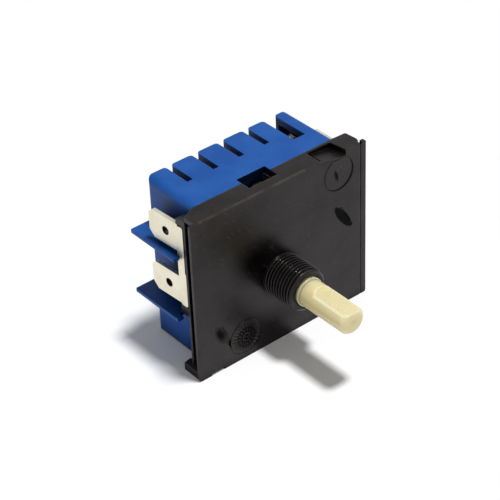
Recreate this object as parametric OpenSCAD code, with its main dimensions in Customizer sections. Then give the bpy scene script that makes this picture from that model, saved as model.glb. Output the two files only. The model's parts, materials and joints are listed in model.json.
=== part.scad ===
// Energy regulator for a cooktop element: blue moulded housing, black front
// cover with a threaded bush, D spindle that is pushed and turned, side blades.
// Millimetres. X runs right along the front, Y to the back, Z up.
// The origin is the spindle axis at the front face of the cover plate.

/* [Cover plate] */
// Width of the plate
plate_w = 44.4; // [42:0.1:50]
// Height of the plate and of the housing behind it
plate_h = 37.6; // [37:0.1:44]
// Thickness of the overhanging flange
flange_t = 0.7; // [0.6:0.1:1.6]
// Spindle axis to the left edge of the plate
axis_left = 21.6; // [21:0.1:24]
// Spindle axis to the bottom edge of the plate
axis_up = 16.2; // [16:0.1:18]
// Overhang of the flange on each side of the housing
side_lip = 4.4; // [4.1:0.1:5]
// Depth of the cover from its front face to the housing
cover_d = 4.8; // [4.6:0.1:6]
// Thickness of the cover's front panel
panel_t = 1.6; // [1.4:0.1:2]
// Depth of the shoulders that hold the terminals
shoulder_d = 2.8; // [2.7:0.1:4]

/* [Bush] */
// Pitch diameter of the bush's thread, which is left plain here
bush_d = 9; // [8.8:0.05:9.4]
// Length of the bush in front of the plate
bush_len = 8.1; // [6:0.1:12]

/* [Housing] */
// Depth of the housing behind the cover
body_d = 14.5; // [14.2:0.1:20]
// Side and bottom wall
wall = 1.3; // [1:0.1:1.5]
// Top wall
top_wall = 1.5; // [1.2:0.1:1.8]
// Rear wall
rear_wall = 1.5; // [1.2:0.1:1.8]
// Radius of the rounded top left edge
edge_r = 1.5; // [0.6:0.1:1.8]

/* [Vents] */
// Width of a narrow vent
vent_w = 1.35; // [1:0.05:2]
// Distance from one narrow vent to the next
vent_pitch = 6.45; // [5.5:0.05:6.6]
// Left face of the housing to the first vent's middle
vent_first = 5.35; // [4:0.05:6]
// Number of narrow vents
vent_count = 4; // [1:1:4]
// Length of a narrow vent from the back
vent_len = 7; // [4:0.1:8]
// How far the vents run down the rear wall
vent_drop = 8; // [4:0.1:10]
// Width of the wide vent
wide_vent_w = 3; // [2:0.1:3.4]
// Length of the wide vent from the back
wide_vent_len = 9.5; // [7:0.1:10]
// Height of the vent in each side wall
side_vent_h = 2.5; // [1:0.1:2.8]
// Length of the vent in each side wall from the back
side_vent_len = 6; // [3:0.1:7]

/* [Window and pocket] */
// Width of the window over the calibration screw
window_w = 7.1; // [5:0.1:8]
// Left edge of the window to the spindle axis
window_left = 5.2; // [3.5:0.1:5.6]
// How far the window is cut into the cover
window_front = 2.3; // [1.5:0.1:2.6]
// How far the window is cut into the housing
window_rear = 1.65; // [1.5:0.05:3]
// Width of the pocket in the top edge
pocket_w = 6.1; // [4:0.1:7]
// Depth of the pocket at its right end
pocket_depth = 1.4; // [1:0.1:1.8]
// Right edge of the pocket to the side of the housing
pocket_right = 1.5; // [0.8:0.1:2]

/* [Fins] */
// Thickness of the insulating fins
fin_t = 0.75; // [0.6:0.05:1.2]
// How far a fin stands out beyond the blades
fin_over = 1.6; // [1:0.1:2]
// Gap from the lower edge of the top blade to its fin
fin_gap = 0.95; // [0.5:0.05:1.2]
// Distance from the upper fin to the lower one
fin_pitch = 14.45; // [14:0.05:15]

/* [Spindle] */
// Diameter of the spindle
shaft_d = 5.95; // [5.8:0.05:6.4]
// Length of the spindle in front of the plate
shaft_len = 21.3; // [18:0.1:30]
// Length of the flat
flat_len = 9.8; // [5:0.1:12]
// Depth of the flat
flat_depth = 0.85; // [0.5:0.05:1.6]
// Radius of the cutter at the end of the flat
flat_run = 1.2; // [0.5:0.1:2]
// Travel when the spindle is pushed
push_travel = 1.6; // [1:0.1:1.8]
// Radial running clearance of the spindle
run_gap = 0.05; // [0.03:0.01:0.1]
// Diameter of the rear journal
journal_d = 4; // [3.5:0.1:4.2]
// Side of the square drive
drive_w = 5; // [4.6:0.1:5.4]

/* [Cam] */
// Largest radius of the regulating cam
cam_r = 8.2; // [7.8:0.1:8.4]
// Rise of the regulating cam over one turn
cam_rise = 0.8; // [0.3:0.1:1]
// Width of the regulating cam
cam_w = 2.9; // [2.7:0.1:3]
// Radius of the rim with the detent's notch
detent_r = 8.6; // [8.5:0.1:9]
// Width of that rim
detent_w = 1.6; // [1.4:0.1:1.8]
// Side of the detent's notch
detent_notch = 2.2; // [1.5:0.1:2.6]
// Width of the line cam
line_w = 2.2; // [2:0.1:2.3]
// Radius of the line cam's off lobe
lobe_r = 11.4; // [11:0.1:11.6]
// Height of the off lobe above the line cam
lobe_rise = 0.8; // [0.4:0.1:1]

/* [Terminals] */
// Width of a blade
blade_w = 6.35; // [6.3:0.05:6.4]
// Thickness of the terminal strip
blade_t = 0.8; // [0.7:0.05:0.9]
// Free length of a blade
blade_len = 7.9; // [7:0.1:8.2]
// Outward lean of the left blades, in degrees
blade_lean = 3.5; // [0:0.5:4]
// Distance between blades
blade_pitch = 12.4; // [12:0.1:12.6]
// Diameter of the hole in a blade
hole_d = 1.8; // [1.6:0.05:2]
// Width of the bar that joins the left blades
bar_w = 2.3; // [2:0.1:2.5]
// Outer face of the blades to the side of the housing
stand_off = 3.1; // [3:0.1:3.4]

/* [Contacts] */
// Thickness of the spring leaves
leaf_t = 0.3; // [0.2:0.05:0.35]
// Width of the spring leaves
leaf_w = 4; // [3.6:0.1:4.4]
// Diameter of the contact buttons
button_d = 2.8; // [2.4:0.1:3]
// Thickness of the contact buttons
button_t = 0.5; // [0.4:0.05:0.6]
// Open gap between the line contacts
line_gap = 0.8; // [0.7:0.05:1]
// Open gap between the cycling contacts
cycle_gap = 0.6; // [0.5:0.05:0.7]

/* [Bimetal] */
// Thickness of the bimetal strip
strip_t = 0.6; // [0.4:0.05:0.7]
// Width of the bimetal strip
strip_w = 4; // [3.6:0.1:4.4]
// How far the pivot is below the middle of the space over the line cam's lobe
pivot_drop = 1.45; // [1.2:0.05:1.6]
// Diameter of the pivot pin
pin_d = 2; // [1.8:0.1:2.2]
// Diameter of the heater wire
wire_d = 0.4; // [0.3:0.05:0.45]
// Number of turns of the heater
heater_turns = 12; // [4:1:14]
// Diameter of the calibration screw
screw_d = 2.5; // [2:0.1:2.6]

/* [Hidden] */
$fn = 48;

// small overlap that makes cuts pass right through
eps = 0.5;
// gap between pieces that only lie beside each other
lay_gap = 0.1;

// edges of the plate and the housing
plate_l = -axis_left;
plate_r = plate_l + plate_w;
base_z = -axis_up;
top_z = base_z + plate_h;
body_l = plate_l + side_lip;
body_r = plate_r - side_lip;
body_mid = (body_l + body_r) / 2;
back_y = cover_d + body_d;
in_l = body_l + wall;
in_r = body_r - wall;
in_base = base_z + wall;
in_top = top_z - top_wall;
in_back = back_y - rear_wall;

// terminals: outer faces, bar and blades
term_l = body_l - stand_off;
term_r = body_r + stand_off;
bar_y0 = cover_d - 0.7;
bar_y1 = bar_y0 + bar_w;
blade_y1 = bar_y1 + blade_len;
leg_y0 = cover_d + 0.05;
leg_y1 = leg_y0 + blade_t;
leg_h = 4;
blade_mid = (base_z + top_z) / 2 + 0.2;
blade_hole = 4.8;
blade_zs = [for (i = [1:-1:-1]) blade_mid + i * blade_pitch];
shoulder_y1 = bar_y1 - 0.1;
shoulder_y0 = shoulder_y1 - shoulder_d;
shoulder_top = top_z - 1.2;
shoulder_fall = 0.7;

// stations along the spindle axis
ring_y1 = 4;
cam_y0 = ring_y1 + lay_gap;
cam_y1 = cam_y0 + cam_w;
detent_y1 = cam_y1 + detent_w;
line_y0 = detent_y1;
line_y1 = line_y0 + line_w;
hub_y1 = line_y1 + 0.4;
hub_d = 12;
collar_d = 9;
collar_y0 = panel_t + lay_gap;
collar_y1 = collar_y0 + 1.3;
boss_y0 = hub_y1 + lay_gap;
spring_y1 = in_back - 3.2;
journal_y1 = in_back - push_travel - 0.5;
drive_end = hub_y1;
spring_bore = drive_w * sqrt(2) + 0.5;
boss_d = spring_bore + 2.6;
spring_wire = 0.4;
spring_turns = 3;

// leaves stand between these planes, front to back
leaf_y0 = line_y0 + 0.3;
leaf_y1 = leaf_y0 + leaf_w;
leaf_mid = (leaf_y0 + leaf_y1) / 2;
tab_y1 = leaf_y1 + 0.5;
rivet_d = 1.5;
rivet_head = 2.4;
// swing room round the root of a spring leaf
root_gap = 0.13;

// left tab and the line arm
line_tab_x = body_l + 2.6;
line_leaf_x = line_tab_x + root_gap;
line_root_z = blade_zs[1] - 0.15;
line_tip_z = in_base + 1.9;
line_contact_z = in_base + 3.4;
bump_z = -4.5;
bump_half = 2.2;
bump_flat = 0.35;
bump_clear = 0.6;
bump_x = -sqrt(lobe_r * lobe_r - bump_z * bump_z) - bump_clear;
line_fixed_x = line_leaf_x + leaf_t + button_t + line_gap;

// bimetal lever over the cam, with the strip on it
pivot_x = in_l + 2.7;
pivot_up = (lobe_r + in_top) / 2 - pivot_drop;
barrel_d = pin_d + 1.8;
lever_t = 0.8;
lever_z0 = pivot_up - lever_t / 2;
lever_z1 = lever_z0 + lever_t;
lever_end_x = screw_d / 2 + 1.15;
lever_rear_x = pivot_x + 6.6;
lever_pad = 2;
lever_corner = 0.8;
rivet_xs = [pivot_x + 3, pivot_x + 5.2];
strip_y0 = leaf_y0 + 0.1;
strip_y1 = strip_y0 + strip_w;
strip_z0 = lever_z1;
strip_z1 = strip_z0 + strip_t;
sleeve_t = 0.25;
winding_end = 1;
winding_lay = 0.06;

// calibration screw, with its head halfway between the lever and the roof
screw_y = (cam_y0 + cam_y1) / 2;
screw_tip_z = cam_r + lay_gap;
screw_head_d = screw_d + 1.3;
screw_head_t = 1.3;
screw_head_z = (lever_z1 + in_top) / 2 - 0.45;

// rib that closes the view in through the window, between the screw and the winding
shade_t = 0.5;
shade_mid = (screw_y + screw_head_d / 2 + strip_y0 - sleeve_t - wire_d - winding_lay) / 2;
shade_z0 = lever_z1 + 0.9;

// right tabs and the snap arm, whose ramp is under the end of the strip
cycle_tab_x = in_r - 0.35 - blade_t;
snap_leaf_x = cycle_tab_x - 2 * button_t - cycle_gap - leaf_t;
snap_tab_x = snap_leaf_x + leaf_t + root_gap;
snap_root_z = -2;
ramp_w = 1.9;
ramp_h = 1.3;
ramp_z0 = strip_z0 - ramp_h - 2;
snap_contact_z = ramp_z0 - button_d / 2 - 0.4;
push_pin_d = 1.6;
push_pin_x = snap_leaf_x - 1.2;
push_pin_z0 = ramp_z0 + ramp_h + 0.5;
strip_x1 = push_pin_x + push_pin_d / 2 + 0.5;
sleeve_x0 = lever_rear_x + 0.4;
sleeve_x1 = push_pin_x - 2.4;

// window, pocket and side vents
window_x0 = -window_left;
window_x1 = window_x0 + window_w;
window_y0 = cover_d - window_front;
window_y1 = cover_d + window_rear;
pocket_x1 = body_r - pocket_right;
pocket_x0 = pocket_x1 - pocket_w;
pocket_z = top_z - pocket_depth;
pocket_shallow = 0.5;
pocket_flare = 0.6;
pocket_y1 = cover_d - 0.6;
pocket_skin = 1.4;
pocket_slot_w = 0.9;
pocket_slot_drop = 0.7;

// fins and bar
fin_up_z = blade_zs[0] - blade_w / 2 - fin_gap;
fin_low_z = fin_up_z - fin_pitch;
fin_x = term_l - fin_over;
side_vent_z = fin_low_z + 3.6;
left_bar_z0 = blade_zs[1] - blade_w / 2 - 0.3;
left_bar_z1 = blade_zs[0] + blade_w / 2 - 0.15;

// front ring of the spindle
ring_d = shaft_d + 0.4;
ring_t = 0.5;
ring_y0 = -bush_len - ring_t - 0.05;

// depth of the dents in the front face
dent_depth = 0.28;

// leaf of the detent and its seats
detent_leaf_y0 = cam_y1 + lay_gap;
detent_leaf_y1 = detent_y1 - lay_gap;
detent_leaf_t = 0.3;
detent_x = 8.5;
detent_foot_z = in_base + 0.6;

function arc(cx, cy, r, a0, a1, n = 6) =
    [for (i = [0:n]) [cx + r * cos(a0 + (a1 - a0) * i / n), cy + r * sin(a0 + (a1 - a0) * i / n)]];

// rectangle with its own radius at each corner: bottom left, bottom right, top right, top left
function rounded(x0, y0, x1, y1, r) = concat(
    arc(x0 + r[0], y0 + r[0], r[0], 180, 270), arc(x1 - r[1], y0 + r[1], r[1], 270, 360),
    arc(x1 - r[2], y1 - r[2], r[2], 0, 90), arc(x0 + r[3], y1 - r[3], r[3], 90, 180));

// slot in plan, open at the back, with its mouth rounded outwards
function slot_plan(x, w, y0, y1, r) = concat(
    [[x - w / 2, y0], [x + w / 2, y0]], arc(x + w / 2 + r, y1 - r, r, 180, 90, 4),
    [[x + w / 2 + r, y1 + eps], [x - w / 2 - r, y1 + eps]], arc(x - w / 2 - r, y1 - r, r, 90, 0, 4));

module block(a, b) { translate(a) cube(b - a); }

// a shape drawn in X and Z, carried from y0 to y1
module along_y(y0, y1) { translate([0, y1, 0]) rotate([90, 0, 0]) linear_extrude(y1 - y0) children(); }

// a shape drawn in X and Y, carried from z0 to z1
module along_z(z0, z1) { translate([0, 0, z0]) linear_extrude(z1 - z0) children(); }

// a shape drawn in Y and Z, carried from x0 to x1
module along_x(x0, x1) {
    translate([x0, 0, 0]) rotate([90, 0, 90]) linear_extrude(x1 - x0) children();
}

// a body turned about the spindle axis from points of radius and Y
module turned(profile) { rotate([-90, 0, 0]) rotate_extrude() polygon(profile); }

module rod_y(x, z, d, y0, y1) { translate([x, y1, z]) rotate([90, 0, 0]) cylinder(d = d, h = y1 - y0); }
module rod_x(y, z, d, x0, x1) { translate([x0, y, z]) rotate([0, 90, 0]) cylinder(d = d, h = x1 - x0); }

// mirrored copy about the middle of the housing
module other_side() { translate([2 * body_mid, 0, 0]) mirror([1, 0, 0]) children(); }
module both_sides() {
    children();
    other_side() children();
}

// wire of round section along a path of points, as one closed mesh
module swept_wire(path, d, sides) {
    n = len(path);
    function dir(i) = let (v = path[min(i + 1, n - 1)] - path[max(i - 1, 0)]) v / norm(v);
    ref = [0.13, 0.21, 0.97];
    rings = [for (i = [0:n - 1]) let (t = dir(i), u0 = cross(t, ref), u = u0 / norm(u0), v = cross(t, u))
        for (k = [0:sides - 1]) path[i] + d / 2 * (cos(360 * k / sides) * u + sin(360 * k / sides) * v)];
    sides_f = [for (i = [0:n - 2], k = [0:sides - 1]) let (a = i * sides, b = a + sides, m = (k + 1) % sides)
        [a + k, a + m, b + m, b + k]];
    polyhedron(rings, concat(sides_f, [[for (k = [sides - 1:-1:0]) k]],
        [[for (k = [0:sides - 1]) (n - 1) * sides + k]]));
}

// Housing

// the outside of the moulding, one profile crossed with another so that all its long edges are rounded
module housing_outside() {
    intersection() {
        along_y(cover_d, back_y)
            polygon(rounded(body_l, base_z, body_r, top_z, [0.8, 0.8, 1, edge_r]));
        along_z(base_z - eps, top_z + eps)
            polygon(rounded(body_l, cover_d - 3, body_r, back_y, [1, 1, 1.2, 1.2]));
    }
}

module vent(x, w, len) {
    along_z(top_z - vent_drop, top_z + eps) polygon(slot_plan(x, w, back_y - len, back_y, 0.7));
}

module vents() {
    for (i = [0:vent_count - 1]) {
        vent(body_l + vent_first + i * vent_pitch, vent_w, vent_len);
    }
    vent(body_l + vent_first + 4 * vent_pitch - 0.1, wide_vent_w, wide_vent_len);
}

// vent in a side wall, open at the back, its mouth rounded outwards
module side_vent() {
    r = 0.8;
    z0 = side_vent_z - side_vent_h;
    y0 = back_y - side_vent_len;
    along_x(body_l - eps, in_l + 2.9)
        polygon(concat([[y0, z0], [back_y - r, z0]], arc(back_y - r, z0 - r, r, 90, 0, 4),
            [[back_y + eps, z0 - r], [back_y + eps, side_vent_z + r]],
            arc(back_y - r, side_vent_z + r, r, 360, 270, 4), [[y0, side_vent_z]]));
}

// insulating fin; it wraps past the bar at its front and has a small gusset below at the back
module fin(z) {
    along_z(z - fin_t, z)
        polygon([[body_l + 0.4, bar_y1 + 0.4], [body_l + 0.4, back_y - 1.2], [body_l, back_y],
            [fin_x + 0.15, back_y], [fin_x, back_y - 0.15], [fin_x, bar_y1 - 0.8],
            [term_l - 0.2, bar_y1 - 0.8], [term_l - 0.2, bar_y1 + 0.4]]);
    along_y(back_y - 2.2, back_y - 1.5)
        polygon([[body_l + 0.2, z - fin_t + 0.1], [body_l + 0.2, z - fin_t - 1.4], [body_l, z - fin_t - 1.4],
            [body_l - 1.4, z - fin_t], [body_l - 1.4, z - fin_t + 0.1]]);
}

// notch in the front rim where a terminal leg passes
module rim_notch(zc) {
    block([body_l - eps, cover_d - eps, zc - leg_h / 2 - lay_gap],
        [in_l + eps, leg_y1 + lay_gap, zc + leg_h / 2 + lay_gap]);
}

// blind rear bearing of the spindle, with a pocket for the return spring and four webs
module spindle_boss() {
    difference() {
        union() {
            rod_y(0, 0, boss_d, boss_y0, in_back + 0.2);
            for (a = [45:90:315]) {
                rotate([0, -a, 0])
                    along_y(boss_y0, in_back + 0.2)
                        polygon([[boss_d / 2 - 0.4, -0.5], [boss_d / 2 + 4, -0.5], [boss_d / 2 + 4, 0.5],
                            [boss_d / 2 - 0.4, 0.5]]);
            }
        }
        rod_y(0, 0, spring_bore, boss_y0 - eps, spring_y1);
        rod_y(0, 0, journal_d + 2 * run_gap, spring_y1 - eps, in_back - 0.2);
        for (a = [45:90:315]) {
            rotate([0, -a, 0])
                along_z(-1, 1) polygon([[boss_d / 2, boss_y0 - eps], [boss_d / 2 + 5, boss_y0 - eps],
                    [boss_d / 2 + 5, in_back - 1], [boss_d / 2, boss_y0 + 2.5]]);
        }
    }
}

module pin_boss(y0, y1) {
    difference() {
        rod_y(pivot_x, pivot_up, barrel_d + 1.2, y0, y1);
        rod_y(pivot_x, pivot_up, pin_d + 0.04, y0 - eps, y1 + eps);
    }
}

// grooved seat on the floor for one end of the detent spring
module detent_seat(x) {
    along_x(x - 1.4, x + 1.4)
        polygon([[detent_leaf_y0 - 1, in_base - 0.2], [detent_leaf_y1 + 1, in_base - 0.2],
            [detent_leaf_y1 + 1, in_base + 1.6], [detent_leaf_y1 + lay_gap, in_base + 1.6],
            [detent_leaf_y1 + lay_gap, detent_foot_z - lay_gap],
            [detent_leaf_y0 - lay_gap, detent_foot_z - lay_gap],
            [detent_leaf_y0 - lay_gap, in_base + 1.6], [detent_leaf_y0 - 1, in_base + 1.6]]);
}

// rib under the roof behind the window
module window_shade() {
    block([window_x0 - 0.6, shade_mid - shade_t / 2, shade_z0],
        [window_x1 + 0.6, shade_mid + shade_t / 2, in_top + 0.2]);
}

// the window over the calibration screw, cut in both mouldings
module window_cut() {
    block([window_x0, window_y0, in_top - 0.2], [window_x1, window_y1, top_z + eps]);
}

module housing() {
    color([0.12, 0.36, 0.72]) {
        difference() {
            union() {
                housing_outside();
                both_sides() {
                    fin(fin_up_z);
                    fin(fin_low_z);
                }
            }
            block([in_l, cover_d - eps, in_base], [in_r, in_back, in_top]);
            vents();
            both_sides() side_vent();
            window_cut();
            rim_notch(blade_zs[1]);
            other_side() for (z = blade_zs) {
                rim_notch(z);
            }
        }
        spindle_boss();
        pin_boss(tab_y1 + 0.4, in_back + 0.2);
        for (x = [-detent_x, detent_x]) {
            detent_seat(x);
        }
        window_shade();
    }
}

// Front cover

// core of the threaded bush with a chamfered end
module bush() {
    turned([[0, 0.3], [bush_d / 2, 0.3], [bush_d / 2, -bush_len + 0.4], [bush_d / 2 - 0.4, -bush_len],
        [0, -bush_len]]);
}

// shoulder beside the housing that carries the bar or the roots of the blades; its top falls to the back
module shoulder(z0) {
    intersection() {
        along_z(z0, shoulder_top)
            polygon([[term_l, shoulder_y0], [term_l, shoulder_y1], [body_l - lay_gap, shoulder_y1],
                [body_l - lay_gap, cover_d], [body_l + 0.3, cover_d], [body_l + 0.3, shoulder_y0]]);
        along_x(term_l - eps, body_l + eps)
            polygon([[shoulder_y0 - eps, z0], [shoulder_y1 + eps, z0],
                [shoulder_y1 + eps, shoulder_top - shoulder_fall], [shoulder_y0 + 0.4, shoulder_top],
                [shoulder_y0 - eps, shoulder_top]]);
    }
}

// thin side wall that carries on down from the front of the left shoulder to a small foot
module side_wall() {
    block([term_l, shoulder_y0, base_z + 0.2], [body_l + 0.3, bar_y0 - 0.1, left_bar_z0]);
    along_y(flange_t - 0.2, cover_d + 0.5)
        polygon([[plate_l + 0.3, base_z], [plate_l + 0.3, base_z + 1.75], [plate_l + 1.9, base_z + 2.1],
            [plate_l + 1.9, base_z]]);
}

// top wall of the cover, wider than the housing; its left rear corner is cut off
module cover_top() {
    along_z(shoulder_top, top_z)
        polygon([[term_l, 0.3], [term_l, 3.4], [body_l, cover_d], [body_r, cover_d],
            [term_r - 0.2, cover_d - 0.15], [term_r, cover_d - 0.5], [term_r + 0.2, 1.6],
            [term_r - 0.2, 0.3]]);
}

// dent with a round head that tapers to a narrow tail
module dent(x, z, a) {
    head_r = 1;
    tail_r = 0.35;
    tail = 5.8;
    side = acos((head_r - tail_r) / tail);
    translate([x, 0, z]) rotate([0, -a, 0])
        along_y(-eps, dent_depth)
            polygon(concat(arc(0, 0, head_r, side, 360 - side, 16), arc(tail, 0, tail_r, -side, side)));
}

// dents in the front face, a notch in its lower edge and a fine line near its right side
module cover_marks() {
    dent(plate_r - 7.3, top_z - 13.8, -55);
    dent(plate_l + 5.6, base_z + 10, -62);
    block([term_r - 0.3, -eps, base_z - eps], [term_r - 0.05, 0.15, top_z + eps]);
    block([plate_l + 3.1, -eps, base_z - eps], [plate_l + 6.3, 0.5, base_z + 0.7]);
    block([term_r - 0.4, -eps, top_z - 0.6], [term_r + 0.2, 0.9, top_z + eps]);
}

// recess for the root of a terminal in the outer face of a shoulder, drawn on the left
module root_recess(z0, z1) {
    block([term_l - eps, bar_y0 - 0.05, z0], [term_l + blade_t + 0.05, shoulder_y1 + eps, z1]);
}

// way in for a leg, open at the back so that the terminal drops in
module leg_slot(zc) {
    block([term_l - eps, leg_y0 - 0.05, zc - leg_h / 2 - lay_gap],
        [body_l + wall + eps, shoulder_y1 + eps, zc + leg_h / 2 + lay_gap]);
}

// pocket in the top edge: it widens to the front, its floor falls to the right, and a deeper slot
// runs along its left side
module pocket_cut() {
    x2 = pocket_x1 + pocket_flare;
    intersection() {
        along_y(-eps, pocket_y1)
            polygon([[pocket_x0, top_z - pocket_shallow], [x2, pocket_z], [x2, top_z + eps],
                [pocket_x0, top_z + eps]]);
        along_z(pocket_z - eps, top_z + 2 * eps)
            polygon([[pocket_x0 - eps, -2 * eps], [x2, -2 * eps], [x2, 0], [pocket_x1, pocket_y1],
                [pocket_x1, pocket_y1 + eps], [pocket_x0 - eps, pocket_y1 + eps]]);
    }
    block([pocket_x0, 1, pocket_z - pocket_slot_drop], [pocket_x0 + pocket_slot_w, pocket_y1, top_z]);
}

module front_cover() {
    color([0.11, 0.1, 0.1])
    difference() {
        union() {
            along_y(0, flange_t) polygon(rounded(plate_l, base_z, plate_r, top_z, [0.6, 0.5, 0.4, 0.5]));
            along_y(0, cover_d) polygon(rounded(body_l, base_z, body_r, top_z, [0.3, 0.8, 0.3, 0.3]));
            cover_top();
            shoulder(left_bar_z0 - 2.2);
            other_side() shoulder(base_z + 1);
            side_wall();
            bush();
        }
        difference() {
            block([in_l, panel_t, in_base], [in_r, cover_d + eps, in_top]);
            rod_y(0, 0, collar_d + 4, panel_t - eps, ring_y1);
            rod_y(pivot_x, pivot_up, barrel_d + 1.2, panel_t - eps, screw_y - lever_pad - 0.3);
            block([pocket_x0 - 0.8, panel_t - eps, pocket_z - pocket_skin],
                [pocket_x1 + pocket_flare + 0.8, cover_d + 1, in_top + eps]);
        }
        rod_y(0, 0, shaft_d + 2 * run_gap, -bush_len - eps, panel_t + eps);
        rod_y(0, 0, ring_d + 0.4, -bush_len - eps, -bush_len + push_travel + 0.2);
        rod_y(0, 0, collar_d + 0.6, panel_t, ring_y1 + eps);
        rod_y(pivot_x, pivot_up, pin_d + 0.04, panel_t + 0.2, cover_d);
        pocket_cut();
        window_cut();
        cover_marks();
        root_recess(left_bar_z0 - 0.1, blade_zs[0] + blade_w / 2 + 0.1);
        leg_slot(blade_zs[1]);
        other_side() for (z = blade_zs) {
            root_recess(z - blade_w / 2 - 0.1, z + blade_w / 2 + 0.1);
            leg_slot(z);
        }
    }
}

// Spindle, cam and springs

// everything in front of the flat's end, with the cutter's round run-out, in Y and Z
module flat_cut() {
    z = shaft_d / 2 - flat_depth;
    y1 = -shaft_len + flat_len;
    along_x(-shaft_d, shaft_d)
        polygon(concat([[-shaft_len - eps, z]], arc(y1 - flat_run, z + flat_run, flat_run, 270, 330, 5),
            [[y1 - flat_run + flat_run * cos(30), shaft_d], [-shaft_len - eps, shaft_d]]));
}

module spindle() {
    r = shaft_d / 2;
    tip = 1;
    color([0.9, 0.86, 0.7])
    difference() {
        union() {
            turned(concat([[0, -shaft_len], [r - tip, -shaft_len]],
                [for (a = [15:15:90]) [r - tip + tip * sin(a), -shaft_len + tip - tip * cos(a)]],
                [[r, ring_y0 - 0.4], [r - 0.25, ring_y0 - 0.4], [r - 0.25, ring_y0], [ring_d / 2, ring_y0],
                [ring_d / 2, ring_y0 + ring_t], [r, ring_y0 + ring_t], [r, collar_y0],
                [collar_d / 2, collar_y0], [collar_d / 2, collar_y1], [journal_d / 2, collar_y1],
                [journal_d / 2, journal_y1], [0, journal_y1]]));
            block([-drive_w / 2, collar_y1 - 0.2, -drive_w / 2], [drive_w / 2, drive_end, drive_w / 2]);
        }
        flat_cut();
    }
}

// outline of the regulating cam: highest at the top, where it holds the lever up in the off position
function cam_outline(n = 60) = concat(
    [for (i = [0:n]) let (a = 115 + i * 310 / n, r = cam_r - cam_rise * (1 - i / n))
        [r * cos(a), r * sin(a)]],
    [for (i = [1:5]) let (a = 65 + i * 50 / 6) [cam_r * cos(a), cam_r * sin(a)]]);

// outline of the line cam: a lobe on the left holds the line contacts open
function lobe_outline(n = 72) = [for (i = [0:n - 1])
    let (a = i * 360 / n, d = abs(a - 180), r = lobe_r - lobe_rise * min(1, max(0, (d - 35) / 10)))
    [r * cos(a), r * sin(a)]];

module cam() {
    drive = drive_w + 2 * lay_gap;
    color([0.86, 0.83, 0.76])
    difference() {
        union() {
            along_y(cam_y0, cam_y1) polygon(cam_outline());
            rod_y(0, 0, 2 * detent_r, cam_y1, detent_y1);
            along_y(line_y0, line_y1) polygon(lobe_outline());
            rod_y(0, 0, hub_d, line_y1 - eps, hub_y1);
        }
        block([-drive / 2, cam_y0 - eps, -drive / 2], [drive / 2, hub_y1 + eps, drive / 2]);
        rod_y(0, 0, collar_d + 0.4, cam_y0 - eps, collar_y1 + push_travel + lay_gap);
        translate([0, 0, -detent_r]) rotate([0, 45, 0])
            block([-detent_notch / 2, cam_y1, -detent_notch / 2],
                [detent_notch / 2, detent_y1, detent_notch / 2]);
    }
}

// coil spring round the rear journal
module return_spring() {
    steps = 14;
    y0 = hub_y1 + spring_wire / 2 + 0.05;
    y1 = spring_y1 - spring_wire / 2 - 0.05;
    r = drive_w / 2 + spring_wire / 2;
    color([0.7, 0.7, 0.72])
        swept_wire([for (i = [0:spring_turns * steps]) let (a = 360 * i / steps)
            [r * cos(a), y0 + (y1 - y0) * i / (spring_turns * steps), r * sin(a)]], spring_wire, 8);
}

// bowed leaf whose middle rides on the cam's rim and drops into its notch
module detent_spring() {
    t = detent_leaf_t;
    z1 = -detent_r - lay_gap - t;
    bow = [for (i = [0:16]) let (x = -detent_x + i * detent_x / 8, k = (1 + cos(180 * x / detent_x)) / 2)
        [x, detent_foot_z + (z1 - detent_foot_z) * k]];
    color([0.72, 0.72, 0.74])
        along_y(detent_leaf_y0, detent_leaf_y1)
            polygon(concat(bow, [for (i = [len(bow) - 1:-1:0]) bow[i] + [0, t]]));
}

// Terminals

// blade with clipped corners and a round hole: straight from y0 to the bend, then leaning outwards
module blade(zc, y0, lean = 0) {
    h = blade_w / 2;
    clip = 1.45;
    clip_up = 1.1;
    tip = [term_l, bar_y1] + blade_len * [-sin(lean), cos(lean)];
    tip_in = tip + blade_t * [cos(lean), sin(lean)];
    y1 = tip_in[1] + eps;
    difference() {
        intersection() {
            along_z(zc - h, zc + h)
                polygon([[term_l, y0], [term_l + blade_t, y0], [term_l + blade_t, bar_y1], tip_in, tip,
                    [term_l, bar_y1]]);
            along_x(tip[0] - eps, term_l + blade_t + eps)
                polygon([[y0 - eps, zc - h - eps], [y1 - clip - 2 * eps, zc - h - eps],
                    [y1, zc - h + clip + eps], [y1, zc + h - clip_up - eps],
                    [y1 - clip_up - 2 * eps, zc + h + eps], [y0 - eps, zc + h + eps]]);
        }
        rod_x(blade_y1 - blade_hole, zc, hole_d, tip[0] - eps, term_l + blade_t + eps);
    }
}

// leg that goes in from a blade's root, bent to a tab that widens towards its leaf; drawn on the left
module leg(zc, x_tab, z0, z1, tab_back) {
    y1 = leg_y1 + 0.6;
    y2 = leaf_y0 - 0.6;
    along_z(zc - leg_h / 2, zc + leg_h / 2)
        polygon([[term_l + blade_t - 0.1, leg_y0], [x_tab - 0.3, leg_y0], [x_tab, leg_y0 + 0.3],
            [x_tab, leg_y1 + 0.2], [x_tab - blade_t, leg_y1 + 0.2], [x_tab - blade_t, leg_y1],
            [term_l + blade_t - 0.1, leg_y1]]);
    along_x(x_tab - blade_t, x_tab)
        polygon([[leg_y0 + 0.3, zc - leg_h / 2], [y1, zc - leg_h / 2], [y2, z0], [tab_back - 0.4, z0],
            [tab_back, z0 + 0.4], [tab_back, z1 - 0.4], [tab_back - 0.4, z1], [y2, z1],
            [y1, zc + leg_h / 2], [leg_y0 + 0.3, zc + leg_h / 2]]);
}

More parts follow.
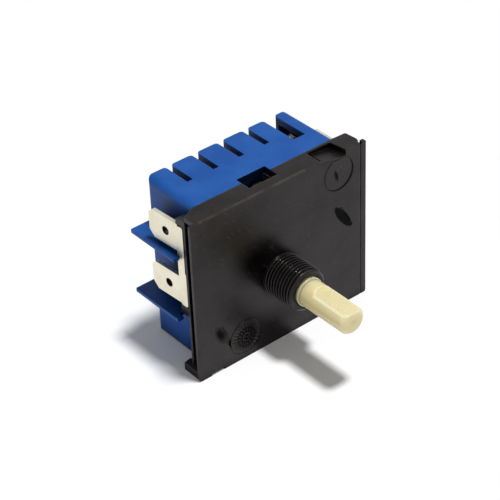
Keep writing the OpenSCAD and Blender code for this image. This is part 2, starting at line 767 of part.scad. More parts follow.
module left_terminal() {
    x = term_l;
    color([0.88, 0.86, 0.8])
    difference() {
        union() {
            along_x(x, x + blade_t)
                polygon([[bar_y0, left_bar_z0 + 0.4], [bar_y0 + 0.4, left_bar_z0],
                    [bar_y1 - 0.6, left_bar_z0], [bar_y1, left_bar_z0 + 0.6], [bar_y1, left_bar_z1 - 0.3],
                    [bar_y0 + 0.5, left_bar_z1], [bar_y0 + 0.25, left_bar_z1 - 0.3],
                    [bar_y0 + 0.25, left_bar_z0 + 8.2], [bar_y0, left_bar_z0 + 7.9]]);
            blade(blade_zs[0], bar_y1 - 0.5, blade_lean);
            blade(blade_zs[1], bar_y1 - 0.5, blade_lean);
            leg(blade_zs[1], line_tab_x, line_root_z - leg_h / 2, line_root_z + leg_h / 2, tab_y1);
        }
        rod_x(leaf_mid, line_root_z, rivet_d + 0.1, line_tab_x - blade_t - eps, line_tab_x + eps);
    }
}

// one right-hand terminal: blade, root in the shoulder, leg and tab; the tab runs from z0 to z1
module right_terminal(zc, x_tab, z0, z1, tab_back) {
    other_side() {
        blade(zc, bar_y0);
        leg(zc, 2 * body_mid - x_tab, z0, z1, tab_back);
    }
}

// its tab has an upper end that shows through the wide vent
module upper_right_terminal() {
    x = cycle_tab_x;
    color([0.88, 0.86, 0.8]) {
        right_terminal(blade_zs[0], x, snap_contact_z - 2, blade_zs[0] + leg_h / 2, tab_y1);
        along_x(x, x + blade_t)
            polygon([[tab_y1 - 2, blade_zs[0]], [tab_y1 + 2.2, blade_zs[0]], [tab_y1 + 2.2, in_top - 1.7],
                [tab_y1 + 1.7, in_top - 1.2], [tab_y1 - 2, in_top - 1.2]]);
    }
}

module middle_right_terminal() {
    color([0.88, 0.86, 0.8])
    difference() {
        right_terminal(blade_zs[1], snap_tab_x, snap_root_z - leg_h / 2, snap_root_z + leg_h / 2, tab_y1);
        rod_x(leaf_mid, snap_root_z, rivet_d + 0.1, snap_tab_x - eps, snap_tab_x + blade_t + eps);
    }
}

// the lowest terminal has a strap along the bottom to the fixed line contact
module lower_right_terminal() {
    z0 = in_base + 0.9;
    x0 = line_fixed_x + button_t;
    x1 = in_r - 0.6 - blade_t;
    color([0.88, 0.86, 0.8]) {
        other_side() blade(blade_zs[2], bar_y0);
        along_y(leg_y0, leg_y1)
            polygon([[x0, z0], [x1 - 1.5, z0], [in_r - 0.3, blade_zs[2] - leg_h / 2],
                [term_r - blade_t + 0.1, blade_zs[2] - leg_h / 2],
                [term_r - blade_t + 0.1, blade_zs[2] + leg_h / 2], [x1, blade_zs[2] + leg_h / 2],
                [x1 - 3, z0 + 1.6], [x0, z0 + 1.6]]);
        along_x(x0, x0 + blade_t)
            polygon([[leg_y0, z0], [tab_y1, z0], [tab_y1, z0 + 4], [tab_y1 - 0.4, z0 + 4.4],
                [leaf_y0, z0 + 4.4], [leg_y1 + 0.8, z0 + 1.6], [leg_y0, z0 + 1.6]]);
    }
}

// Contacts

// contact button between two X values, at a height
module button(x0, x1, z) { rod_x(leaf_mid, z, button_d, x0, x1); }

// leaf with a formed bump that the line cam's lobe pushes
module line_arm() {
    x = line_leaf_x;
    t = leaf_t;
    top = line_root_z + leg_h / 2 - 0.3;
    bent = [[0, top], [0, bump_z + bump_half], [bump_x - t - x, bump_z + bump_flat],
        [bump_x - t - x, bump_z - bump_flat], [0, bump_z - bump_half], [0, line_tip_z]];
    color([0.8, 0.6, 0.35])
    difference() {
        along_y(leaf_y0, leaf_y1)
            polygon(concat([for (p = bent) [x + p[0], p[1]]],
                [for (i = [5:-1:0]) [x + t + bent[i][0], bent[i][1] + ((i == 1 || i == 2) ? 0.12 : 0)
                    - ((i == 3 || i == 4) ? 0.12 : 0)]]));
        rod_x(leaf_mid, line_root_z, rivet_d + 0.4, x - eps, x + t + eps);
    }
}

module line_moving_contact() {
    color([0.78, 0.78, 0.76]) button(line_leaf_x + leaf_t, line_leaf_x + leaf_t + button_t, line_contact_z);
}

module line_fixed_contact() {
    color([0.78, 0.78, 0.76]) button(line_fixed_x, line_fixed_x + button_t, line_contact_z);
}

// leaf with a slit round a middle tongue, which gives it its snap, and a bent ramp under the push pin
module snap_arm() {
    x = snap_leaf_x;
    z0 = snap_root_z - leg_h / 2 + 0.3;
    z1 = ramp_z0 + ramp_h + eps;
    h = leaf_w / 2;
    neck_z = snap_contact_z + 1.2;
    neck_h = h - 0.7;
    slit_z0 = snap_root_z + leg_h / 2 + 0.6;
    slit_z1 = snap_contact_z - button_d / 2 - 0.6;
    slit = 0.95;
    tongue = 0.75;
    color([0.8, 0.6, 0.35])
    difference() {
        intersection() {
            along_y(leaf_y0 - eps, leaf_y1 + eps)
                polygon([[x, z0], [x + leaf_t, z0], [x + leaf_t, ramp_z0 + 0.15],
                    [x - ramp_w + leaf_t / 2, ramp_z0 + ramp_h], [x - ramp_w, ramp_z0 + ramp_h - 0.25],
                    [x, ramp_z0]]);
            along_x(x - ramp_w - eps, x + leaf_t + eps)
                polygon([for (p = [[-h, z0 - eps], [h, z0 - eps], [h, neck_z], [neck_h, z1], [-neck_h, z1],
                    [-h, neck_z]]) [leaf_mid + p[0], p[1]]]);
        }
        rod_x(leaf_mid, snap_root_z, rivet_d + 0.4, x - eps, x + leaf_t + eps);
        along_x(x - eps, x + leaf_t + eps)
            polygon([for (p = [[-slit, slit_z0], [-tongue, slit_z0], [-tongue, slit_z1 - 0.2],
                [tongue, slit_z1 - 0.2], [tongue, slit_z0], [slit, slit_z0], [slit, slit_z1],
                [-slit, slit_z1]]) [leaf_mid + p[0], p[1]]]);
    }
}

module cycling_moving_contact() {
    color([0.78, 0.78, 0.76]) button(snap_leaf_x + leaf_t, snap_leaf_x + leaf_t + button_t, snap_contact_z);
}

module cycling_fixed_contact() {
    color([0.78, 0.78, 0.76]) button(cycle_tab_x - button_t, cycle_tab_x, snap_contact_z);
}

// rivet through a tab and the root of a leaf; its inner head stands clear of the leaf
module arm_rivet(x_out, x_head, z) {
    side = sign(x_head - x_out);
    x0 = min(x_out, x_head);
    x1 = max(x_out, x_head);
    rod_x(leaf_mid, z, rivet_d, x0, x1);
    rod_x(leaf_mid, z, rivet_head, side > 0 ? x0 - 0.4 : x0 - 0.35, x0);
    rod_x(leaf_mid, z, rivet_head, x1, side > 0 ? x1 + 0.35 : x1 + 0.4);
}

module arm_rivets() {
    clear = leaf_t + 2 * root_gap;
    color([0.75, 0.72, 0.66]) {
        arm_rivet(line_tab_x - blade_t, line_tab_x + clear, line_root_z);
        arm_rivet(snap_tab_x + blade_t, snap_tab_x - clear, snap_root_z);
    }
}

// Bimetal assembly

module pivot_pin() {
    color([0.75, 0.75, 0.77]) rod_y(pivot_x, pivot_up, pin_d, panel_t + 0.3, in_back);
}

// steel lever with a rolled barrel; one arm holds the screw, the other the strip
module bimetal_lever() {
    mid = (strip_y0 + strip_y1) / 2;
    color([0.66, 0.67, 0.7])
    difference() {
        union() {
            rod_y(pivot_x, pivot_up, barrel_d, screw_y - lever_pad, strip_y1);
            along_z(lever_z0, lever_z1)
                polygon([[pivot_x, screw_y - lever_pad], [lever_end_x - lever_corner, screw_y - lever_pad],
                    [lever_end_x, screw_y - lever_pad + lever_corner],
                    [lever_end_x, screw_y + lever_pad - lever_corner],
                    [lever_end_x - lever_corner, screw_y + lever_pad],
                    [lever_rear_x + 1.5, screw_y + lever_pad],
                    [lever_rear_x, screw_y + lever_pad + 1], [lever_rear_x, strip_y1], [pivot_x, strip_y1]]);
        }
        rod_y(pivot_x, pivot_up, pin_d + 2 * run_gap, screw_y - lever_pad - eps, strip_y1 + eps);
        translate([0, screw_y, lever_z0 - eps]) cylinder(d = screw_d, h = lever_t + 2 * eps);
        for (x = rivet_xs) {
            translate([x, mid, lever_z0 - eps]) cylinder(d = rivet_d, h = lever_t + 2 * eps);
        }
    }
}

// the strip runs over the snap arm, with a hole for the push pin
module bimetal_strip() {
    x0 = pivot_x + barrel_d / 2 + 0.1;
    mid = (strip_y0 + strip_y1) / 2;
    color([0.62, 0.6, 0.55])
    difference() {
        along_z(strip_z0, strip_z1)
            polygon([[x0, strip_y0], [strip_x1 - 0.8, strip_y0], [strip_x1, strip_y0 + 0.8],
                [strip_x1, strip_y1 - 0.8], [strip_x1 - 0.8, strip_y1], [x0, strip_y1]]);
        for (x = rivet_xs) {
            translate([x, mid, strip_z0 - eps]) cylinder(d = rivet_d, h = strip_t + 2 * eps);
        }
        translate([push_pin_x, mid, strip_z0 - eps])
            cylinder(d = push_pin_d / 2 + 0.1, h = strip_t + 2 * eps);
    }
}

module bimetal_rivets() {
    color([0.75, 0.72, 0.66]) for (x = rivet_xs) translate([x, (strip_y0 + strip_y1) / 2, 0]) {
        translate([0, 0, lever_z0 - 0.4]) cylinder(d = rivet_head, h = 0.4);
        translate([0, 0, lever_z0 - 0.2]) cylinder(d = rivet_d, h = lever_t + strip_t + 0.4);
        translate([0, 0, strip_z1]) cylinder(d = rivet_head, h = 0.4);
    }
}

// flat sleeve of mica wrapped round the strip
module mica_sleeve() {
    g = 0.02;
    t = sleeve_t + g;
    color([0.75, 0.68, 0.5])
    along_x(sleeve_x0, sleeve_x1)
    difference() {
        polygon(rounded(strip_y0 - t, strip_z0 - t, strip_y1 + t, strip_z1 + t, [0.2, 0.2, 0.2, 0.2]));
        polygon([[strip_y0 - g, strip_z0 - g], [strip_y1 + g, strip_z0 - g], [strip_y1 + g, strip_z1 + g],
            [strip_y0 - g, strip_z1 + g]]);
    }
}

// resistance wire wound round the sleeve
module heater_winding() {
    c = sleeve_t + wire_d / 2 + winding_lay;
    x0 = sleeve_x0 + winding_end;
    pitch = (sleeve_x1 - sleeve_x0 - 2 * winding_end) / heater_turns;
    ys = [strip_y0 - c, strip_y1 + c];
    zs = [strip_z0 - c, strip_z1 + c];
    color([0.5, 0.45, 0.42])
        swept_wire([for (i = [0:heater_turns - 1], k = [0:3])
            [x0 + pitch * (i + k / 4), (k == 0 || k == 3) ? ys[0] : ys[1], (k < 2) ? zs[0] : zs[1]]],
            wire_d, 6);
}

// slotted screw that rides on the cam
module calibration_screw() {
    r = screw_d / 2;
    head_r = screw_head_d / 2;
    top = screw_head_z + screw_head_t;
    color([0.78, 0.72, 0.45])
    difference() {
        translate([0, screw_y, 0]) rotate_extrude()
            polygon([[0, screw_tip_z], [r - 0.4, screw_tip_z], [r, screw_tip_z + 0.4], [r, screw_head_z],
                [head_r, screw_head_z], [head_r, top - 0.4], [head_r - 0.4, top], [0, top]]);
        block([-screw_head_d, screw_y - 0.25, top - 0.6], [screw_head_d, screw_y + 0.25, top + eps]);
    }
}

// ceramic pin under the end of the strip, with a stem through it
module push_pin() {
    r = push_pin_d / 2;
    color([0.92, 0.92, 0.9])
        translate([push_pin_x, (strip_y0 + strip_y1) / 2, 0]) rotate_extrude()
            polygon([[0, push_pin_z0], [r - 0.2, push_pin_z0], [r, push_pin_z0 + 0.2], [r, strip_z0],
                [r / 2, strip_z0], [r / 2, strip_z1 + 0.3], [0, strip_z1 + 0.3]]);
}

housing();
front_cover();
spindle();
cam();
return_spring();
detent_spring();
left_terminal();
upper_right_terminal();
middle_right_terminal();
lower_right_terminal();
line_arm();
line_moving_contact();
line_fixed_contact();
snap_arm();
cycling_moving_contact();
cycling_fixed_contact();
arm_rivets();
pivot_pin();
bimetal_lever();
bimetal_strip();
bimetal_rivets();
mica_sleeve();
heater_winding();
calibration_screw();
push_pin();
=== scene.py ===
import json
import math

import bmesh
import bpy
from mathutils import Matrix, Vector


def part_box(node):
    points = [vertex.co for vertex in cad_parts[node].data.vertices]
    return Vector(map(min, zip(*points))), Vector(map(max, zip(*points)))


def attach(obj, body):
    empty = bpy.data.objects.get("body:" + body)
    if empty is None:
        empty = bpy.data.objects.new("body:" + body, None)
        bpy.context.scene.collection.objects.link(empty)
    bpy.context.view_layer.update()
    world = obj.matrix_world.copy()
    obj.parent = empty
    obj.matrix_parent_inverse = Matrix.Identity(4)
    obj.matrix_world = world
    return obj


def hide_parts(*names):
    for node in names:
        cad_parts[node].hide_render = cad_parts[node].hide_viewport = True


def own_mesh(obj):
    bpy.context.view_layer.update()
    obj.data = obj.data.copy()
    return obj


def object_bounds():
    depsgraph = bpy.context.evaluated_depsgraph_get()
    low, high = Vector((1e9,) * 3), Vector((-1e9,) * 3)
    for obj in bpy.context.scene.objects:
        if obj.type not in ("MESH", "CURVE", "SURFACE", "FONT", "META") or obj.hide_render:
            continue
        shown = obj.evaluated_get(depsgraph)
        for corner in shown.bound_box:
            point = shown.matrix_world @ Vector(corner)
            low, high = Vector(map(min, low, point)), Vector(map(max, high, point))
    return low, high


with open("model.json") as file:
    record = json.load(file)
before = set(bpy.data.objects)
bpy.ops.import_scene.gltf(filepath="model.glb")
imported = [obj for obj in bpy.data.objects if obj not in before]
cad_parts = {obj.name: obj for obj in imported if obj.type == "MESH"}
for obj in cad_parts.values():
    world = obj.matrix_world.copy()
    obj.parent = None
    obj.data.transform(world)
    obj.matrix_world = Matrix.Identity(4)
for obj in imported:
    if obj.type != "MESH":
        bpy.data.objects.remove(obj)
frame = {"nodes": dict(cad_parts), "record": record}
cad_lo, cad_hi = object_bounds()

MM = 0.001
SCENE = bpy.context.scene

# Camera at the photograph's viewing angle, solved for a picture of 500 by 500, in pixels and metres
PICTURE_PX = 500
FOCAL_PX = 1766.5
CAMERA_PLACE = (-0.178981, -0.216578, 0.209930)
CAMERA_RIGHT = Vector((0.76771, -0.63984, -0.03502))
CAMERA_UP = Vector((0.39822, 0.43356, 0.80836))
CAMERA_FORWARD = Vector((0.50204, 0.63453, -0.58765))

# Light levels: on the floor they add up to about one, so that a colour renders about as it is written
KEY = 2.7
KEY_ANGLE = 9.0
FILL = 0.16
SIDE_FILL = 0.12
FILL_ANGLE = 70.0
AMBIENT = 0.19
WHITE = (1.0, 1.0, 1.0, 1.0)

# Places on the part, in millimetres
BUSH_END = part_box("front_cover")[0].y / MM
COVER_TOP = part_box("front_cover")[1].z / MM
SHAFT_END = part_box("spindle")[0].y / MM
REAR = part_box("housing")[1].y / MM
BLADE_HOLES_Y = 9.5
BLADE_HOLES_Z = (15.2, 2.8, -9.6)
DATE_MARK = (-9.6, -10.9)
CORNER_MARK = (15.6, 16.5)
CORNER_MARK_TOP = 19.9

# Boxes round the openings whose walls get painted shade, each as two corners
WINDOW = ((-5.4, 2.0, 12.0), (2.1, 6.6, 21.36))
WIDE_VENT = ((13.75, REAR - 9.6, 12.0), (16.95, REAR - 0.2, COVER_TOP - 0.3))

# Boxes round the edges that get a painted highlight: the cover's upper front edge, which is also worn,
# and both edges of the flat
TOP_EDGE = ((-19.7, -0.2, COVER_TOP - 0.35), (7.0, 0.35, COVER_TOP + 0.2))
FLAT_EDGES = [((x - 0.2, -20.7, 1.85), (x + 0.2, -11.9, 2.25)) for x in (-2.12, 2.12)]

# What the finishes share, in millimetres: height of the grain and how far light travels in the resins,
# with the shares of that for red, green and blue; then the shares of tone and shine left where painted
# shade is full
RELIEF = 0.02
SCATTER_REACH = 3.5
SCATTER_RGB = (1.0, 0.9, 0.7)
SHADE_TONE = 0.12
SHADE_SHINE = 0.1

# Dark spots on the front, painted shade in the two dents and a dark hook in the corner mark: centre,
# reach, angle in degrees and how soft the rim is
FRONT_SPOTS = {
    "upper dent": ((16.6, 0, 5.7), (4.1, 1, 1.15), 55, 0.15),
    "lower dent": ((-15.6, 0, -7.5), (3.2, 1, 1.5), 62, 0.6),
    "hook in the corner mark": ((14.8, 0, 16.3), (1.9, 1, 0.6), 78, 0.5),
}

# Painted shade on the front, lowering colour and shine along the top and round the bush: centre, reach
# and strength
FRONT_PAINTED_SHADE = {
    "along the top": ((-12, 0, 15), (14, 1, 8), 0.4),
    "above the bush": ((-6.5, 0, 6.5), (8, 1, 7), 0.9),
    "below the bush": ((-2.5, 0, -11.5), (8, 1, 5.5), 0.7),
}

# Moulded relief: how deep a mark's foot is sunk, how high the discs and the strokes on them rise, and
# the faces that carry marks, each as its place along Y and its outward direction
SINK = 0.05
MARK_RISE = 0.14
STROKE_RISE = 0.15
ON_DISC = (-MARK_RISE, -1)
ON_REAR = (REAR, 1)


def make_camera():
    data = bpy.data.cameras.new("camera")
    data.sensor_width = 36.0
    data.lens = data.sensor_width * FOCAL_PX / PICTURE_PX
    data.clip_start = 0.01
    data.clip_end = 20.0
    camera = bpy.data.objects.new("camera", data)
    turn = Matrix((CAMERA_RIGHT, CAMERA_UP, -CAMERA_FORWARD)).transposed()
    camera.matrix_world = Matrix.Translation(CAMERA_PLACE) @ turn.to_4x4()
    SCENE.collection.objects.link(camera)
    SCENE.camera = camera


# Shader nodes
def feed(tree, socket, value):
    if isinstance(value, bpy.types.NodeSocket):
        tree.links.new(value, socket)
    else:
        socket.default_value = value


def add(tree, kind, inputs=None, **settings):
    made = tree.nodes.new("ShaderNode" + kind)
    for key, value in settings.items():
        setattr(made, key, value)
    for key, value in (inputs or {}).items():
        feed(tree, made.inputs[key], value)
    return made


def fresh_tree(owner):
    owner.use_nodes = True
    owner.node_tree.nodes.clear()
    return owner.node_tree


def blend_colour(tree, factor, a, b):
    return add(tree, "Mix", {0: factor, 6: a, 7: b}, data_type="RGBA").outputs[2]


def blend_value(tree, factor, a, b):
    return add(tree, "Mix", {0: factor, 2: a, 3: b}).outputs[0]


def ramp(tree, value, low, high, to_low=0.0, to_high=1.0):
    made = add(tree, "MapRange", {0: value, 1: low, 2: high, 3: to_low, 4: to_high})
    return made.outputs[0]


def maths(tree, operation, a, b):
    return add(tree, "Math", {0: a, 1: b}, operation=operation).outputs[0]


def noise(tree, coords, size, detail=3.0, stretch=(1, 1, 1)):
    """Noise whose features are about size millimetres, drawn out along an axis by stretch."""
    scale = [1 / (size * MM * s) for s in stretch]
    mapping = add(tree, "Mapping", {"Vector": coords, "Scale": scale})
    made = add(tree, "TexNoise", {"Vector": mapping.outputs[0], "Scale": 1.0, "Detail": detail})
    return made.outputs[0]


def spot(tree, coords, centre, reach, angle=0.0, soft=0.25):
    """One within an ellipsoid, in millimetres, fading to nothing at its rim."""
    placed = add(tree, "Mapping", {"Vector": coords, "Location": [c * MM for c in centre],
                                   "Rotation": (0, math.radians(angle), 0),
                                   "Scale": [r * MM for r in reach]},
                 vector_type="TEXTURE").outputs[0]
    away = add(tree, "VectorMath", {0: placed}, operation="LENGTH").outputs["Value"]
    return ramp(tree, away, 1.0, 1.0 - soft)


def within(tree, coords, low, high):
    """One inside a box given by two corners in millimetres."""
    centre = [(a + b) / 2 * MM for a, b in zip(low, high)]
    half = [(b - a) / 2 * MM for a, b in zip(low, high)]
    placed = add(tree, "Mapping", {"Vector": coords, "Location": centre, "Scale": half},
                 vector_type="TEXTURE").outputs[0]
    away = add(tree, "VectorMath", {0: placed}, operation="ABSOLUTE").outputs[0]
    x, y, z = add(tree, "SeparateXYZ", {0: away}).outputs
    return ramp(tree, maths(tree, "MAXIMUM", maths(tree, "MAXIMUM", x, y), z), 1.0, 0.985)


def shaded_rim(tree, coords, centre, radius, width):
    """One in the lower right part of a circle's rim on the front face: painted shade."""
    x, z = centre
    shift = width * 0.6
    hollow = radius - 0.1
    whole = spot(tree, coords, (x, 0, z), (radius, 1, radius), soft=0.05)
    inner = spot(tree, coords, (x - shift, 0, z + shift), (hollow, 1, hollow), soft=0.05)
    return maths(tree, "MULTIPLY", whole, maths(tree, "SUBTRACT", 1.0, inner))


# Marks, worn places, painted shade and painted highlights that lie at one place on the part
def front_marks_and_shade(tree, coords):
    """Where the front is darker: the dial, a dark hook, and painted shade in the dents, along the lower
    right of the round rims, along the top and round the bush.
    """
    x, z = DATE_MARK
    dial = spot(tree, coords, centre=(x, 0, z), reach=(4.5, 0.27, 4.5), soft=0.3)
    yield maths(tree, "MULTIPLY", dial, 0.9)
    for placing in FRONT_SPOTS.values():
        yield spot(tree, coords, *placing)
    for centre, reach, strength in FRONT_PAINTED_SHADE.values():
        yield maths(tree, "MULTIPLY", spot(tree, coords, centre, reach, soft=1.0), strength)
    yield shaded_rim(tree, coords, CORNER_MARK, radius=3.95, width=0.75)
    yield shaded_rim(tree, coords, DATE_MARK, radius=4.1, width=0.4)


def top_edge_highlight_and_wear(tree, coords):
    """How far the cover's upper front edge is lightened in patches: a painted highlight on a worn edge.
    """
    strip = within(tree, coords, *TOP_EDGE)
    patches = ramp(tree, noise(tree, coords, size=2.5), 0.35, 0.6, 0.1, 0.4)
    return maths(tree, "MULTIPLY", strip, patches)


def flat_edge_highlights(tree, coords):
    """How far both long edges of the spindle's flat carry a painted highlight."""
    left, right = (within(tree, coords, *edge) for edge in FLAT_EDGES)
    return maths(tree, "MAXIMUM", left, right)


def gate_mark(tree, coords):
    """Where the resin went in, on the spindle's end."""
    gate = spot(tree, coords, centre=(0, SHAFT_END, 0), reach=(0.9, 0.4, 0.7), soft=0.6)
    yield maths(tree, "MULTIPLY", gate, 0.12)


def shaded_openings(tree, coords):
    """Painted shade on the walls of the window and of the wide vent, as dark as in the photograph."""
    yield within(tree, coords, *WINDOW)
    yield maths(tree, "MULTIPLY", within(tree, coords, *WIDE_VENT), 0.7)


def strip_shade(tree, coords):
    """Painted shade on the walls of the holes in the blades and on the tab in the wide vent."""
    beyond_both_sides, radius = 900, 0.97
    for z in BLADE_HOLES_Z:
        yield spot(tree, coords, (0, BLADE_HOLES_Y, z), (beyond_both_sides, radius, radius), soft=0.03)
    low, high = (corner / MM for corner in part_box("upper_right_terminal"))
    tab = within(tree, coords, (low.x - 0.1, 4, low.z), (low.x + 0.9, 16, high.z))
    yield maths(tree, "MULTIPLY", tab, ramp(tree, noise(tree, coords, size=0.6), 0.68, 0.56))


# Layers of a finish
def edge_wear_and_highlight(tree, coords, rounded, blotches, wear_and_highlight, rubs_and_highlights):
    """How far the edges take the worn tone, in patches, with a painted highlight where that tone is
    lighter, and what the extra mask gives at its own place.
    """
    facet = add(tree, "NewGeometry").outputs["Normal"]
    along = add(tree, "VectorMath", {0: rounded, 1: facet}, operation="DOT_PRODUCT").outputs["Value"]
    rubbed_and_lit = maths(tree, "MULTIPLY", ramp(tree, along, 0.97, 0.8), ramp(tree, blotches, 0.4, 0.62))
    rubbed_and_lit = maths(tree, "MULTIPLY", rubbed_and_lit, wear_and_highlight)
    if rubs_and_highlights:
        rubbed_and_lit = maths(tree, "MAXIMUM", rubbed_and_lit, rubs_and_highlights(tree, coords))
    return rubbed_and_lit


def painted_cavity_shade(tree, coords, cavity_shade, reach, marks_and_shade):
    """How far painted shade darkens the recesses, and what the extra mask gives at its own places."""
    open_sky = add(tree, "AmbientOcclusion", {"Distance": reach * MM}, samples=8).outputs["AO"]
    closed = ramp(tree, open_sky, 0.2, 0.9, cavity_shade, 0.0)
    for mark in marks_and_shade(tree, coords) if marks_and_shade else ():
        closed = maths(tree, "MAXIMUM", closed, mark)
    return closed


def fine_scratches(tree, coords, strength):
    """How far long scratches, turned away from the axes, show."""
    turned = add(tree, "Mapping", {"Vector": coords, "Rotation": (0.2, 0.7, 0.1)}).outputs[0]
    lines = noise(tree, turned, size=0.45, detail=2.0, stretch=(1, 1, 9))
    return ramp(tree, lines, 0.62, 0.70, 0.0, strength)


def finish(name, tones, worn, roughness, edge, grain=0.35, blotch=5.0, bump=0.25, metallic=0.0,
           specular=0.5, tint=(1, 1, 1), stretch=(1, 1, 1), wear_and_highlight=0.6, scatter=0.0, scratches=0.0,
           cavity_shade=0.0, reach=2.5, marks_and_shade=None, rubs_and_highlights=None):
    """A finish in layers: two tones in blotches, fine grain, worn and rounded edges with painted
    highlights, painted shade in recesses.

    The radius of the edge, the sizes of grain and blotch and the reach of the painted shade are in
    millimetres.
    """
    material = bpy.data.materials.new(name)
    tree = fresh_tree(material)
    coords = add(tree, "TexCoord").outputs["Object"]
    blotches = noise(tree, coords, blotch, detail=4.0)
    fine = noise(tree, coords, grain, stretch=stretch)
    rounded = add(tree, "Bevel", {"Radius": edge * MM}, samples=4).outputs[0]

    # Edges take the worn tone in patches; where that tone is lighter it is a painted highlight.
    rubbed_and_lit = edge_wear_and_highlight(tree, coords, rounded, blotches, wear_and_highlight, rubs_and_highlights)
    colour = blend_colour(tree, ramp(tree, blotches, 0.35, 0.65), (*tones[0], 1), (*tones[1], 1))
    colour = blend_colour(tree, rubbed_and_lit, colour, (*worn, 1))
    shine = ramp(tree, blotches, 0.3, 0.7, specular * 0.85, specular * 1.15)
    # Painted shade: recesses and the given places turn dark and lose shine.
    if cavity_shade:
        closed = painted_cavity_shade(tree, coords, cavity_shade, reach, marks_and_shade)
        dark = [SHADE_TONE * c for c in tones[0]]
        colour = blend_colour(tree, closed, colour, (*dark, 1))
        shine = maths(tree, "MULTIPLY", shine, ramp(tree, closed, 0.0, 1.0, 1.0, SHADE_SHINE))
    uneven = maths(tree, "ADD", blotches, maths(tree, "MULTIPLY", fine, 0.6))
    rough = ramp(tree, uneven, 0.55, 1.0, *roughness)
    if scratches:
        scored = fine_scratches(tree, coords, scratches)
        rough = maths(tree, "ADD", rough, scored)
        colour = blend_colour(tree, scored, colour, (*worn, 1))
    relief = add(tree, "Bump", {"Strength": bump, "Distance": RELIEF * MM, "Height": fine,
                                "Normal": rounded}).outputs[0]

    inputs = {"Base Color": colour, "Roughness": rough, "Metallic": metallic,
              "Specular IOR Level": shine, "Specular Tint": (*tint, 1), "Normal": relief}
    if scatter:
        inputs["Subsurface Weight"] = scatter
        inputs["Subsurface Radius"] = SCATTER_RGB
        inputs["Subsurface Scale"] = SCATTER_REACH * MM
    shader = add(tree, "BsdfPrincipled", inputs)
    add(tree, "OutputMaterial", {0: shader.outputs[0]})
    return material


# What each finish is made with, by its material slot, and the cover's black once more for its thread
# The black's lighter edge tone is a painted highlight along its worn edges; its recesses get painted
# shade.
BLACK = dict(tones=((0.0036, 0.0026, 0.0024), (0.0062, 0.0048, 0.0046)), worn=(0.110, 0.095, 0.085),
             tint=(1.0, 0.91, 0.93), cavity_shade=0.85)

